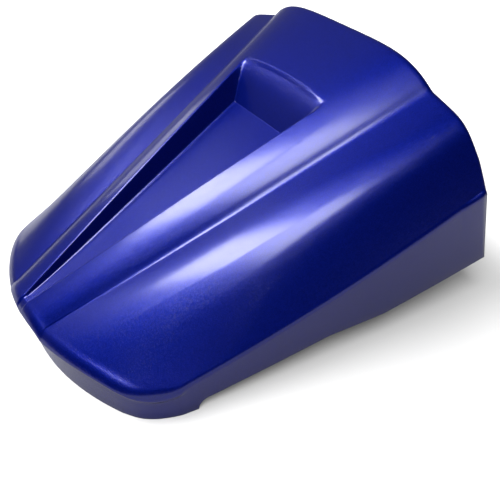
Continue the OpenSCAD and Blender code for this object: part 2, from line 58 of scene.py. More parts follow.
bl_info = {
    "name": "Seat cowl",
    "version": (1, 0, 0),
    "blender": (4, 5, 0),
    "location": "View3D > Sidebar > Seat cowl",
    "description": "Builds the painted shell, the finishes and the stage of a rear seat cowl",
    "category": "Object",
}

MM = 0.001

# Length over all and wall of the moulded shell
COWL_L = 274 * MM
WALL = 2.8 * MM

# Tail: half width, sweep of its corners, lip with its slopes, band and undercuts, and the radius
# of its rounded corners with the largest share beyond them that is still moved
TAIL_HALF_W = 98 * MM
TAIL_CORNER_Z = 23 * MM
TAIL_SWEEP = 36 * MM
LIP_REACH = 6 * MM
LIP_SLOPE = math.radians(22)
LIP_END = math.radians(66)
LIP_BAND = 0.4 * MM
LIP_TURN = 4 * MM
LIP_UNDERCUT = 6 * MM
CORNER_UNDERCUT = 2.5 * MM
CORNER_EASE = 11 * MM
CORNER_CAP = 1.2

# Front: half width, foot, lean and bulge of the wall, and the round over its top
FRONT_HALF_W = 127 * MM
FRONT_CORNER_Z = 97 * MM
FOOT_Z = 34 * MM
FOOT_BOW = 3 * MM
FOOT_ARCH = 9 * MM
FRONT_LEAN = math.radians(17)
FRONT_BULGE = 12 * MM
FRONT_ROUND = 4 * MM
FOOT_S = COWL_L - FOOT_BOW

# Creases at tail and front, and their bows and sags halfway along
VALLEY_X = (25 * MM, 76.4 * MM)
VALLEY_Z = (34 * MM, 139 * MM)
VALLEY_SAG = 1.2 * MM
SHOULDER_X = (51 * MM, 104 * MM)
SHOULDER_Z = (35.5 * MM, 132 * MM)
SHOULDER_BOW = 5 * MM
SHOULDER_RISE = 5.3 * MM
CREASE_BOW = 2.5 * MM
CREASE_SAG = 3 * MM
CREASE_ROUND = 1.5 * MM
CREASE_SLOPE = math.radians(50)
PANEL_SWELL = 2 * MM

# Hump between the valleys, and the scoop that is cut into it: widths, floor, depths, dive, length
# and its end ramp
HUMP_H = (5 * MM, 16 * MM)
HUMP_SWELL = 1.7 * MM
HUMP_SQUARE = 4.8
SCOOP_W = (3.5 * MM, 41.6 * MM)
SCOOP_FLOOR = 0.85
SCOOP_FLOOR_END = 0.96
SCOOP_DEPTH = (1.2 * MM, 17 * MM)
SCOOP_DIVE = 0.6
SCOOP_L = 179 * MM
RAMP_L = 18 * MM
RAMP_BOW = 7 * MM
RAMP_FLAT = 0.3
RAMP_CRISP = 0.25 * MM

# Lower edge of the skirt: step, rise and level stretch
NOTCH_S = 64.5 * MM
NOTCH_L = 8.5 * MM
NOTCH_H = 8 * MM
LEVEL_S = 150 * MM
LEVEL_L = 40 * MM
LEVEL_Z = 20.5 * MM
SKIRT_DRAFT = 1 * MM
EDGE_SOFT = 0.5 * MM
EDGE_TIP = 0.15 * EDGE_SOFT

# How softly the creases are blended, as a difference in height
VALLEY_SOFT = 1.6 * MM
VALLEY_REACH = 6 * MM
SHOULDER_SOFT = (5 * MM, 7 * MM)
SHOULDER_SOFT_MORE = 8 * MM
SCOOP_LIP_SOFT = 2.6 * MM
SCOOP_FOOT_SOFT = 1.6 * MM

# How far the inner face's lines move across and down from the outer ones, and how far its front
# edge lies behind the outer one, as shares of the wall
VALLEY_INSET = (0.2, 1.05)
SHOULDER_INSET = (0.4, 1)
CREASE_INSET = (0.9, 0.5)
FRONT_INSET = 0.6

# Fineness of the shell's grid: columns in each strip of half a section, and rows of each ring
STRIP_COLUMNS = (8, 9, 22, 18, 20)
STRIP_SHARES = (0, 0.22, 0.32, 0.56, 0.74, 1)
ROUND_ROWS = 8
TURN_ROWS = 7
SKIRT_ROWS = 5

# Lines of the grid along the length: to the skirt's step, on it, to the ramp, at the ramp's foot,
# on it, and from its top to the front
ALONG_LINES = (12, 9, 52, 3, 30, 22)

# Shares of a plain skirt's height beside which the lip's undercut turns, and how far the straight
# inner face behind it has come where it starts
TURN_FALL = (0.03, 0.13)
BEHIND_LIP = 0.3

# Screw bosses in the tray's frame: size, bore, web, and the screws' places along the tray
BOSS_D = 8 * MM
BOSS_Z = (2.5 * MM, 15.5 * MM)
BORE_D = 4.1 * MM
BORE_TOP = 13 * MM
WEB_T = 2 * MM
WEB_Z = 9 * MM
WEB_REACH = 10.4 * MM
WEB_OVERLAP = 1 * MM
WEB_UNDER = 0.01 * MM
BOSS_IN = 9 * MM
SCREW_S = (32 * MM, 104 * MM, 162 * MM, 228 * MM)
TAIL_SCREW_X = 45 * MM
TRAY_TAIL_Z = 5 * MM
TRAY_FRONT_Z = 42 * MM
BOSS_SIDES = 40

# Shares of the border over which tail and front give way to the sides
TAIL_FADE = 0.8
FRONT_FADE = 0.93
SIDE_FADE = 0.08

# Flakes of the paint: spread of their tone and gloss, and their bump in base and coat
FLAKE_TONE = (0.75, 1.3)
FLAKE_GLOSS = (0.8, 1.2)
FLAKE_TILT = 0.3
COAT_TILT = 0.2
BUMP_DEPTH = 0.2 * MM

# Stage: half width of the floor, part of the sky over which the backdrop fades, and the camera
FLOOR_REACH = 6.0
BACKDROP_FADE = (0.2, 0.95)
SENSOR_WIDTH = 36
CLIP_START = 0.01


def mix(a, b, t):
    """Straight mix of a and b."""
    return a + (b - a) * t


def bowed(ends, rise, t):
    """Straight mix of two ends, raised in its middle by a parabola of that rise."""
    return mix(ends[0], ends[1], t) + 4 * rise * t * (1 - t)


def soft_low(a, b, k):
    """The lower of a and b, blended by a parabola where they differ by less than k."""
    k = np.maximum(k, 1e-7)
    h = np.maximum(k - np.abs(a - b), 0) / k
    return np.minimum(a, b) - h * h * k / 4


def soft_high(a, b, k):
    """The higher of a and b, blended in the same way."""
    return -soft_low(-a, -b, k)


def spread(a, b, n):
    """n steps from a to b without b, closer together at both ends, as a cosine does."""
    return mix(a, b, 0.5 - 0.5 * np.cos(np.pi * np.arange(n) / n))


def hump_top(v):
    """Height of the hump over its valleys at a share v of the length."""
    return bowed(HUMP_H, HUMP_SWELL, v)


def tail_s(x):
    """Distance from the tail's tip to the panels' tail edge: a parabola over the half width."""
    return LIP_REACH + TAIL_SWEEP * (x / TAIL_HALF_W) ** 2


def front_s(x, z):
    """Distance from the tail's tip to the panels' front edge: a leaning plane with a bulge that
    falls by the cube of the share of the half width."""
    bulge = FRONT_BULGE * (1 - np.minimum(np.abs(x) / FRONT_HALF_W, 1) ** 3)
    return FOOT_S - FRONT_ROUND - math.tan(FRONT_LEAN) * (z - FOOT_Z) + bulge


# Length of the panels along their centre, and the shares of it at which the ramp starts and ends
SCOOP_RUN = float(front_s(0, VALLEY_Z[1] + HUMP_H[1]) - tail_s(0))
V_BASE = (SCOOP_L - LIP_REACH) / SCOOP_RUN
V_TOP = V_BASE + RAMP_L / SCOOP_RUN


def ramp(v, across=1.0):
    """Share by which the scoop's floor has risen to the hump, from V_BASE to V_TOP: straight at
    first, then a parabola that levels out. Its top is an arc, and lies further on at the centre."""
    top = V_TOP + RAMP_BOW / SCOOP_RUN * (1 - np.minimum(across, 1) ** 2)
    t = np.clip((v - V_BASE) / (top - V_BASE), 0, 1)
    steep = 2 / (1 + RAMP_FLAT)
    return np.where(t < RAMP_FLAT, steep * t, 1 - steep * (1 - t) ** 2 / (2 - 2 * RAMP_FLAT))


def section_lines(v, inset):
    """Half widths of the section's lines at v: centre, scoop floor, scoop lip, valley, shoulder and
    skirt crease. A positive inset gives those of the inner face."""
    lip = mix(SCOOP_W[0], SCOOP_W[1], v / V_TOP)
    floor = lip * mix(SCOOP_FLOOR, SCOOP_FLOOR_END, ramp(v))
    return np.stack([
        0 * v, floor + inset, lip + inset,
        mix(VALLEY_X[0], VALLEY_X[1], v) + VALLEY_INSET[0] * inset,
        bowed(SHOULDER_X, SHOULDER_BOW, v) - SHOULDER_INSET[0] * inset,
        bowed((TAIL_HALF_W, FRONT_HALF_W), CREASE_BOW, v) - CREASE_INSET[0] * inset])


def section_height(x, v, inset):
    """Height of the section over its half width x at v. The hump is an arch that is squarer than
    an ellipse, the band and the side panel are near straight, and the scoop is cut from the arch by
    its floor and its leaning walls. Neighbours are blended softly, and an inset lowers them all."""
    lines = section_lines(v, inset)
    floor_x, lip_x, valley_x, shoulder_x, crease_x = lines[1:]
    valley_z = bowed(VALLEY_Z, -VALLEY_SAG, v) - VALLEY_INSET[1] * inset
    shoulder_z = bowed(SHOULDER_Z, SHOULDER_RISE, v) - SHOULDER_INSET[1] * inset
    crease_z = bowed((TAIL_CORNER_Z, FRONT_CORNER_Z), -CREASE_SAG, v) - CREASE_INSET[1] * inset

    def arch(at):
        return valley_z + hump_top(v) * (1 - (at / valley_x) ** HUMP_SQUARE)

    band = mix(valley_z, shoulder_z, (x - valley_x) / (shoulder_x - valley_x))
    out = (x - shoulder_x) / (crease_x - shoulder_x)
    panel = bowed((shoulder_z, crease_z), PANEL_SWELL, out)
    dive = mix(SCOOP_DEPTH[0], SCOOP_DEPTH[1], np.minimum(1, v / V_BASE) ** SCOOP_DIVE)
    soft = bowed(SHOULDER_SOFT, SHOULDER_SOFT_MORE, v)
    risen = ramp(v, x / lip_x)
    sunk = arch(lip_x) - dive
    floor = mix(sunk, arch(np.minimum(x, lip_x)), risen)
    depth = dive * (1 - risen)
    wall = mix(floor, arch(lip_x), (x - floor_x) / np.maximum(lip_x - floor_x, 1e-6))
    cut = soft_high(floor, wall, np.minimum(SCOOP_FOOT_SOFT, depth))
    hump = soft_low(arch(x), cut, np.minimum(SCOOP_LIP_SOFT, depth))
    hump = np.where(risen < 1, hump, arch(x))
    top = np.where(x < valley_x - VALLEY_REACH, hump, soft_high(hump, band, VALLEY_SOFT))
    return np.where(x < valley_x, top, soft_low(top, panel, soft))


def edge_z(s):
    """Height of the skirt's lower edge at a distance s from the tail's tip: level, an arc up, a
    rise, a level stretch and a rise to the front wall's foot."""
    arc = np.clip((s - NOTCH_S) / NOTCH_L, 0, 1)
    step = NOTCH_H * np.sqrt(1 - (1 - arc) ** 2)
    past = NOTCH_S + NOTCH_L
    rest = np.interp(s, [past, LEVEL_S, LEVEL_S + LEVEL_L, FOOT_S],
                     [NOTCH_H, LEVEL_Z, LEVEL_Z, FOOT_Z])
    return np.where(s < past, step, rest)


def grid_shares():
    """Shares across half a section and along the length at which the grid has its lines. They lie
    closer together at creases, at the skirt's step and on the scoop's ramp."""
    lead, step, run, foot, climb, rest = ALONG_LINES
    half = np.concatenate([spread(STRIP_SHARES[i], STRIP_SHARES[i + 1], n)
                           for i, n in enumerate(STRIP_COLUMNS)] + [[1.0]])
    corner = float(tail_s(TAIL_HALF_W))
    notch = (NOTCH_S - corner) / (FOOT_S - corner)
    past = notch + NOTCH_L / (FOOT_S - corner)
    arc = mix(notch, past, 1 - np.cos(np.linspace(0, np.pi / 2, step)[:-1]))
    crisp = RAMP_CRISP / SCOOP_RUN
    top = V_TOP + RAMP_BOW / SCOOP_RUN
    along = np.concatenate([
        np.linspace(0, notch, lead)[:-1], arc, np.linspace(past, V_BASE - crisp, run),
        np.linspace(V_BASE, V_BASE + crisp, foot), np.linspace(V_BASE + 3 * crisp, top, climb),
        np.linspace(top, 1, rest)[1:]])
    return half, along


def eased(points, corner):
    """Points with the tail corners pulled in to arcs, and how far each has moved along. In the
    square beside a corner, counted from the side and from the tail's parabola, each share shrinks
    by the root of one less half of the other's square, which turns it into a quarter of a disc."""
    x, s = np.abs(points[..., 0]), points[..., 1]
    start = TAIL_HALF_W - CORNER_EASE
    wide = np.abs(corner[0]) - start
    deep = CORNER_EASE - corner[1] + tail_s(corner[0])
    u = np.maximum(x - start, 0) / wide
    w = np.maximum(CORNER_EASE - s + tail_s(x), 0) / deep
    new_x = x - wide * u * (1 - np.sqrt(1 - np.minimum(w, CORNER_CAP) ** 2 / 2))
    back = deep * w * (1 - np.sqrt(1 - np.minimum(u, CORNER_CAP) ** 2 / 2))
    result = points.copy()
    result[..., 0] = np.sign(points[..., 0]) * new_x
    result[..., 1] = s - tail_s(x) + back + tail_s(new_x)
    return result, back


def eased_panels(grid, inset):
    """The panels' grid with eased tail corners, and its heights taken anew from the section."""
    result, back = eased(grid, grid[-1, 0])
    run = grid[:, -1:, 1] - grid[:, :1, 1]
    v = grid_shares()[1][None, :] + back / run
    height = section_height(np.abs(result[..., 0]), v, inset)
    result[..., 2] = np.where(back > 0, height, grid[..., 2])
    return result


def panel_grid(inset):
    """Panels as a grid of points, columns from left to right and rows from tail to front. A column
    follows a share across the section, its distance from the tail's tip is a straight mix of its
    two ends, and its height is the section's."""
    half, along = grid_shares()
    lines = section_lines(along, inset)
    place = np.interp(half, STRIP_SHARES, np.arange(len(STRIP_SHARES)))
    low = np.minimum(place.astype(int), len(STRIP_SHARES) - 2)
    x = mix(lines[low], lines[low + 1], (place - low)[:, None])
    z = section_height(x, along[None, :], inset)
    tail = tail_s(x[:, :1]) + inset
    front = front_s(x[:, -1:], z[:, -1:]) - FRONT_INSET * inset
    s = mix(tail, front, along[None, :])
    right = np.stack([x, s, z], -1)
    left = right[:0:-1] * (-1, 1, 1)
    return np.concatenate([left, right])


def walk_border(grid):
    """The grid's border as indices, walked round once: tail, right side, front, left side."""
    columns, rows = grid.shape[0] - 1, grid.shape[1] - 1
    across = np.arange(columns + 1)
    along = np.arange(1, rows)
    i = np.concatenate([across, np.full(rows - 1, columns), across[::-1], np.zeros(rows - 1, int)])
    j = np.concatenate([0 * across, along, 0 * across + rows, along[::-1]])
    return i, j


def unit_rows(a):
    """Each row of a, scaled to length one."""
    return a / np.maximum(np.linalg.norm(a, axis=-1, keepdims=True), 1e-12)


class Border:
    """Border of the panels with its outward directions and the shares of tail, front and side."""

    def __init__(self, grid):
        self.i, self.j = walk_border(grid)
        self.points = grid[self.i, self.j]
        rows = grid.shape[1] - 1
        columns = grid.shape[0] - 1
        self.at_tail = self.j == 0
        self.at_front = self.j == rows
        self.at_corner = (self.i % columns == 0) & (self.at_tail | self.at_front)
        step = np.roll(self.points, -1, 0) - self.points
        out = np.stack([step[:, 1], -step[:, 0], 0 * step[:, 0]], -1)
        mid = self.points[:, 0] + step[:, 0] / 2
        slope = 3 * FRONT_BULGE * mid * np.abs(mid) / FRONT_HALF_W ** 3
        leaning = np.stack([slope, 1 + 0 * slope, 0 * slope], -1)
        both = self.at_front & np.roll(self.at_front, -1)
        edge = unit_rows(np.where(both[:, None], leaning, out))
        self.out = unit_rows(edge + np.roll(edge, 1, 0))
        self.mitre = self.out / np.sum(self.out * edge, -1, keepdims=True)
        along = grid_shares()[1][self.j]
        width = np.abs(self.points[:, 0])
        near_tail = 0.5 * (1 - np.clip(along / SIDE_FADE, 0, 1))
        near_front = 0.5 * (1 - np.clip((1 - along) / SIDE_FADE, 0, 1))
        tail = mix(1, 0.5, np.clip((width / TAIL_HALF_W - TAIL_FADE) / (1 - TAIL_FADE), 0, 1))
        front = mix(1, 0.5, np.clip((width / FRONT_HALF_W - FRONT_FADE) / (1 - FRONT_FADE), 0, 1))
        self.tail = np.where(self.at_tail, tail, np.where(self.at_front, 0, near_tail))
        self.front = np.where(self.at_front, front, np.where(self.at_tail, 0, near_front))
        self.along = along
        self.undercut = mix(LIP_UNDERCUT, CORNER_UNDERCUT, width / TAIL_HALF_W)

    def shared(self, tail, front, side):
        """Value at each place of the border, mixed from those of tail, front and side."""
        return tail * self.tail + front * self.front + side * (1 - self.tail - self.front)

    def rounded(self, share):
        """Points of the edge round: an arc that turns from the panel's slope to upright, or to the
        lip's end slope."""
        start = self.shared(LIP_SLOPE, -LIP_SLOPE, CREASE_SLOPE)
        end = self.shared(LIP_END, np.pi / 2, np.pi / 2)
        reach = self.shared(LIP_REACH, FRONT_ROUND, CREASE_ROUND)
        r = reach / (np.sin(end) - np.sin(start))
        a = mix(start, end, share)
        drop = np.zeros_like(self.points)
        drop[:, 2] = r * (np.cos(start) - np.cos(a))
        return self.points + self.out * (r * (np.sin(a) - np.sin(start)))[:, None] - drop

    def feet(self):
        """Lower edge of the skirts and of the front wall."""
        p = self.points
        reach = self.shared(LIP_REACH, FRONT_ROUND, CREASE_ROUND)
        tail = p + self.out * (reach - self.undercut)[:, None]
        tail[:, 2] = edge_z(tail[:, 1])
        width = np.abs(p[:, 0]) / FRONT_HALF_W
        front = np.stack([p[:, 0] * (1 + (CREASE_ROUND - SKIRT_DRAFT) / FRONT_HALF_W),
                          COWL_L - FOOT_BOW * width ** 2,
                          FOOT_Z + FOOT_ARCH * (1 - width ** 4)], -1)
        corner = float(tail_s(TAIL_HALF_W))
        s = mix(corner, FOOT_S, self.along)
        side = np.stack([np.sign(p[:, 0]) * (np.abs(p[:, 0]) + CREASE_ROUND - SKIRT_DRAFT), s,
                         edge_z(s)], -1)
        at_tail, at_front = self.at_tail[:, None], self.at_front[:, None]
        return np.where(at_tail, tail, np.where(at_front, front, side))


def under_rows():
    """Rows under the edge round, as three lists: fall of a plain skirt from 0 to 1, turn of the
    lip's undercut from 0 to 1, and fall from that turn's end to the foot."""
    turn = np.linspace(0, 1, TURN_ROWS)
    skirt = np.linspace(0, 1, SKIRT_ROWS + 1)[1:]
    fall = np.concatenate([mix(*TURN_FALL, turn), mix(TURN_FALL[1], 1, skirt)])
    return fall, np.concatenate([turn, 1 + 0 * skirt]), np.concatenate([0 * turn, skirt])


def outer_rings(border):
    """Outer rings from the panels' border to the skirt's lower edge, whose corner is soft."""
    rings = [border.rounded(n / ROUND_ROWS) for n in range(1, ROUND_ROWS + 1)]
    top, feet = rings[-1], border.feet()
    lip = np.clip(2 * border.tail, 0, 1)[:, None]
    for fall, turn, low in zip(*under_rows()):
        plain = mix(top, feet, fall)
        back = border.out * (border.undercut * (3 * turn ** 2 - 2 * turn ** 3))[:, None]
        lipped = top - back
        lipped[:, 2] -= LIP_BAND + LIP_TURN * turn
        rings.append(mix(plain, mix(lipped, feet, low), lip))
    rings[-1] = feet + (0, 0, EDGE_SOFT)
    rings.append(feet + (0, 0, EDGE_TIP) - border.mitre * EDGE_TIP)
    rings.append(feet - border.mitre * EDGE_SOFT)
    return rings


def inner_rings(border, outer, inner_border):
    """Inner rings, from the inner panels' border to the skirt's lower edge: set in level by the
    wall, and straight past the lip, which is solid."""
    first = border.points - inner_border
    beside = np.zeros_like(first)
    inside = border.at_front & ~border.at_corner
    beside[inside, 0] = first[inside, 0]
    level = WALL * border.mitre
    rings = []
    for n in range(ROUND_ROWS):
        turn = (n + 1) / ROUND_ROWS
        rings.append(outer[n] - mix(first, level, turn) - beside * turn)
    start = rings[-2]
    turned = ROUND_ROWS + TURN_ROWS
    end = outer[turned] - level
    lip = np.clip(2 * border.tail, 0, 1)[:, None]
    for n in range(ROUND_ROWS, len(outer) - 3):
        past = min(1, (n - ROUND_ROWS) / TURN_ROWS)
        plain = outer[n] - level - beside * (1 - past)
        come = (past + BEHIND_LIP) / (1 + BEHIND_LIP)
        straight = mix(start, end, come) if n <= turned else plain
        rings.append(mix(plain, straight, lip))
    feet = outer[-1] + border.mitre * EDGE_SOFT
    rings.append(feet - level + (0, 0, EDGE_SOFT))
    rings.append(feet - level + border.mitre * EDGE_SOFT)
    return rings


def quads_between(a, b):
    """Quads between two closed rows of vertex numbers, facing outwards when a lies over b."""
    return np.stack([a, b, np.roll(b, -1), np.roll(a, -1)], -1)


def shell_mesh():
    """Closed surface of the shell: outer panels and rings, then the lower edge, then the inner
    rings and panels. Returns its points, from the tail's tip and in metres, and its quads."""
    outer = panel_grid(0)
    inner = panel_grid(WALL)
    border = Border(outer)
    out_rings = outer_rings(border)
    in_rings = inner_rings(border, out_rings, inner[border.i, border.j])
    columns, rows = outer.shape[:2]
    outer, inner = eased_panels(outer, 0), eased_panels(inner, WALL)
    rise = outer[border.i, border.j, 2] - border.points[:, 2]
    foot = border.feet()[:, 2]
    rings = []
    for ring in out_rings + in_rings[::-1]:
        high = (ring[:, 2] - foot) / (border.points[:, 2] - foot)
        moved = eased(ring, ring[columns - 1])[0]
        moved[:, 2] += rise * np.clip(high, 0, 1)
        rings.append(moved)
    panel_ids = np.arange(columns * rows).reshape(columns, rows)
    parts, start = [outer.reshape(-1, 3)], columns * rows
    around = [panel_ids[border.i, border.j]]
    for ring in rings:
        parts.append(ring)
        around.append(start + np.arange(len(ring)))
        start += len(ring)
    inner_ids = start + panel_ids
    parts.append(inner.reshape(-1, 3))
    around.append(inner_ids[border.i, border.j])

    def face(ids):
        return np.stack([ids[:-1, :-1], ids[1:, :-1], ids[1:, 1:], ids[:-1, 1:]], -1).reshape(-1, 4)

    quads = [face(panel_ids), face(inner_ids)[:, ::-1]]
    quads += [quads_between(a, b) for a, b in zip(around[:-1], around[1:])]
    return np.concatenate(parts), np.concatenate(quads)


def on_tray(points, x, s):
    """Points of the tray's frame at a place over its underside, in the shell's frame."""
    slope = math.atan((TRAY_FRONT_Z - TRAY_TAIL_Z) / COWL_L)
    height = TRAY_TAIL_Z + s * math.tan(slope)
    y = points[:, 1] * math.cos(slope) - points[:, 2] * math.sin(slope)
    z = points[:, 1] * math.sin(slope) + points[:, 2] * math.cos(slope)
    return np.stack([x + points[:, 0], s + y, height + z], -1)


def boss_mesh(turn, reach):
    """Closed surface of one boss with its bore, turned about its axis, and of its web: rings of a
    circle for the boss, and a box for the web. Returns points and faces, round a place at 0."""
    profile = ((BORE_D, BORE_TOP), (BORE_D, BOSS_Z[0]), (BOSS_D, BOSS_Z[0]), (BOSS_D, BOSS_Z[1]))
    angle = np.arange(BOSS_SIDES) * 2 * np.pi / BOSS_SIDES
    circle = np.stack([np.cos(angle), np.sin(angle)], -1)
    rings = [np.column_stack([circle * d / 2, np.full(BOSS_SIDES, z)]) for d, z in profile]
    points = np.concatenate([*rings, [(0, 0, BORE_TOP)], [(0, 0, BOSS_Z[1])]])
    ids = np.arange(len(rings) * BOSS_SIDES).reshape(len(rings), BOSS_SIDES)
    faces = [quad for a, b in zip(ids[1:], ids[:-1]) for quad in quads_between(a, b).tolist()]
    first, last = ids.size, ids.size + 1
    faces += [(p, q, first) for p, q in zip(np.roll(ids[0], -1).tolist(), ids[0].tolist())]
    faces += [(p, q, last) for p, q in zip(ids[-1].tolist(), np.roll(ids[-1], -1).tolist())]
    box = np.array([(x, y, z) for z in (WEB_Z, BOSS_Z[1] - WEB_UNDER)
                    for y in (-WEB_T / 2, WEB_T / 2) for x in (BOSS_D / 2 - WEB_OVERLAP, reach)])
    start = len(points)
    sides = ((0, 2, 3, 1), (4, 5, 7, 6), (0, 1, 5, 4), (2, 6, 7, 3), (1, 3, 7, 5), (0, 4, 6, 2))
    faces += [tuple(start + n for n in side) for side in sides]
    points = np.concatenate([points, box])
    x = points[:, 0] * math.cos(turn) - points[:, 1] * math.sin(turn)
    y = points[:, 0] * math.sin(turn) + points[:, 1] * math.cos(turn)
    return np.stack([x, y, points[:, 2]], -1), faces


def bosses():
    """All eight bosses over the tray's screws: webs reach the side skirts, or the tail for the two
    hindmost. Returns their points and faces."""
    points, faces, count = [], [], 0
    undercut = mix(LIP_UNDERCUT, CORNER_UNDERCUT, TAIL_SCREW_X / TAIL_HALF_W)
    for n, s in enumerate(SCREW_S):
        v = (s - tail_s(TAIL_HALF_W)) / (FOOT_S - tail_s(TAIL_HALF_W))
        skirt = bowed((TAIL_HALF_W, FRONT_HALF_W), CREASE_BOW, v) + CREASE_ROUND - SKIRT_DRAFT
        x, reach = skirt - WALL - BOSS_IN, WEB_REACH
        turns = {-1: math.pi, 1: 0}
        if n == 0:
            x, reach = TAIL_SCREW_X, s - tail_s(TAIL_SCREW_X) + LIP_REACH - WALL - undercut
            turns = {-1: -math.pi / 2, 1: -math.pi / 2}
        for side, turn in turns.items():
            one, parts = boss_mesh(turn, reach)
            points.append(on_tray(one, side * x, s))
            faces += [[count + k for k in part] for part in parts]
            count += len(one)
    return np.concatenate(points), faces


def new_piece(name, points, quads, material, replaced):
    """A mesh object at the origin that stands for a frame node and rides on the root. Its quads are
    smooth, and the bosses are added flat."""
    extra, faces = bosses()
    every = np.concatenate([points, extra]) - (0, COWL_L / 2, 0)
    faces = quads.tolist() + [[len(points) + k for k in face] for face in faces]
    mesh = bpy.data.meshes.new(name)
    mesh.from_pydata(every.tolist(), [], faces)
    mesh.polygons.foreach_set("use_smooth", np.arange(len(faces)) < len(quads))
    mesh.validate()
    piece = bpy.data.objects.new(name, mesh)
    bpy.context.scene.collection.objects.link(piece)
    mesh.materials.append(material)
    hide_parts(replaced)
    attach(piece, "root")
    return piece


class Nodes:
    """Short way to lay out the nodes of a material or of a world."""

    def __init__(self, owner):
        owner.use_nodes = True
        self.owner = owner
        self.tree = owner.node_tree

    def add(self, kind, inputs=None, **settings):
        """New node of that kind, with its settings, and its inputs set or linked by name."""
        node = self.tree.nodes.new(kind)
        for key, value in settings.items():
            setattr(node, key, value)
        for key, value in (inputs or {}).items():
            self.feed(node.inputs[key], value)
        return node

    def feed(self, socket, value):
        """Links a socket, or sets a plain value on it."""
        if isinstance(value, bpy.types.NodeSocket):
            self.tree.links.new(value, socket)
        else:
            socket.default_value = value

    def place(self):
        """Place on the object, in metres."""
        return self.add("ShaderNodeTexCoord").outputs["Object"]

    def noise(self, place, scale, detail):
        """Grey noise with about that many blots in a metre."""
        inputs = {"Vector": place, "Scale": scale, "Detail": detail}
        return self.add("ShaderNodeTexNoise", inputs).outputs[0]

    def blend(self, factor, first, second):
        """Mix of two colours."""
        inputs = {"Factor": factor, "A": (*first, 1), "B": (*second, 1)}
        return self.add("ShaderNodeMix", inputs, data_type="RGBA").outputs["Result"]

    def span(self, value, low, high, over=(0, 1), curve="LINEAR"):
        """A value that runs from low to high while another runs over a range."""
        inputs = {"Value": value, "From Min": over[0], "From Max": over[1],
                  "To Min": low, "To Max": high}
        return self.add("ShaderNodeMapRange", inputs, interpolation_type=curve).outputs[0]

    def bump(self, height, strength, distance=BUMP_DEPTH):
        """Normal that a height tilts."""
        inputs = {"Height": height, "Strength": strength, "Distance": distance}
        return self.add("ShaderNodeBump", inputs).outputs[0]

    def shade(self, shader="Principled BSDF", **inputs):
        """Sets or links inputs of the main shader, with underscores for spaces."""
        for key, value in inputs.items():
            self.feed(self.tree.nodes[shader].inputs[key.replace("_", " ")], value)
        return self.owner


def metallic_paint(paint):
    """Satin metallic blue: a deep base, whose flakes of half a millimetre differ in tone, tilt and
    gloss, under a satin coat that follows them less."""
    nodes = Nodes(bpy.data.materials.new("metallic_paint"))
    cells = {"Vector": nodes.place(), "Scale": paint.flakes_per_m}
    flake = nodes.add("ShaderNodeTexVoronoi", cells).outputs["Color"]
    tone = nodes.span(flake, *FLAKE_TONE)
    tinted = nodes.add("ShaderNodeVectorMath", {0: paint.base, "Scale": tone}, operation="SCALE")
    gloss = [share * paint.coat_roughness for share in FLAKE_GLOSS]
    return nodes.shade(Base_Color=tinted.outputs[0], Metallic=paint.metallic,
                       Roughness=paint.roughness, Specular_IOR_Level=0.0,
                       Specular_Tint=(*paint.edge, 1), Coat_Weight=paint.coat,
                       Coat_Roughness=nodes.span(flake, *gloss),
                       Normal=nodes.bump(flake, FLAKE_TILT),
                       Coat_Normal=nodes.bump(flake, COAT_TILT))


def black_moulding():
    """Black moulded plastic with a fine spark-eroded grain and slightly paler rubbed patches."""
    nodes = Nodes(bpy.data.materials.new("black_moulding"))
    place = nodes.place()
    patch = nodes.noise(place, scale=25, detail=3)
    grain = nodes.noise(place, scale=2200, detail=3)
    return nodes.shade(Base_Color=nodes.blend(patch, (0.012, 0.012, 0.013), (0.035, 0.035, 0.037)),
                       Roughness=nodes.span(patch, low=0.5, high=0.68),
                       Normal=nodes.bump(grain, strength=0.35))


def zinc_plate():
    """Bright zinc plate: fine drawn lines and cloudy, faintly yellow passivation."""
    nodes = Nodes(bpy.data.materials.new("zinc_plate"))
    place = nodes.place()
    cloud = nodes.noise(place, scale=90, detail=3)
    drawn = nodes.add("ShaderNodeMapping", {"Vector": place, "Scale": (60, 1800, 1800)})
    lines = nodes.noise(drawn.outputs[0], scale=1, detail=2)
    return nodes.shade(Base_Color=nodes.blend(cloud, (0.55, 0.56, 0.58), (0.68, 0.66, 0.58)),
                       Metallic=1.0, Roughness=nodes.span(lines, low=0.25, high=0.45),
                       Normal=nodes.bump(lines, strength=0.1, distance=BUMP_DEPTH / 2))


def damper_rubber():
    """Dull black rubber with a dusty bloom and a soft grain."""
    nodes = Nodes(bpy.data.materials.new("damper_rubber"))
    place = nodes.place()
    bloom = nodes.noise(place, scale=120, detail=4)
    grain = nodes.noise(place, scale=1500, detail=2)
    return nodes.shade(Base_Color=nodes.blend(bloom, (0.016, 0.016, 0.016), (0.045, 0.044, 0.042)),
                       Roughness=0.82, Normal=nodes.bump(grain, strength=0.2))


def finish_nodes(names, material):
    """Gives frame nodes their material."""
    for name in names:
        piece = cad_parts[name]
        piece.data.materials.clear()
        piece.data.materials.append(material)


class CowlPaint(PropertyGroup):
    """Paint of the shell."""

    base: FloatVectorProperty(name="Base", description="Colour of the paint", subtype="COLOR",
                              size=3, min=0, max=1, default=(0.0005, 0.0035, 0.09))
    metallic: FloatProperty(name="Metallic", description="Share of the metallic base",
                            subtype="FACTOR", min=0, max=1, default=0.7)
    roughness: FloatProperty(name="Roughness", description="Roughness of the base",
                             subtype="FACTOR", min=0, max=1, default=0.42)
    edge: FloatVectorProperty(name="Edge", description="Tint of the base at a flat angle",
                              subtype="COLOR", size=3, min=0, max=1, default=(0.02, 0.04, 0.3))
    coat: FloatProperty(name="Coat", description="Weight of the satin coat", subtype="FACTOR",
                        min=0, max=1, default=0.5)
    coat_roughness: FloatProperty(name="Coat roughness", description="Roughness of the satin coat",
                                  subtype="FACTOR", min=0, max=1, default=0.19)
    flakes_per_m: FloatProperty(name="Flakes", description="Flakes in a metre", min=200, max=5000,
                                default=2000)


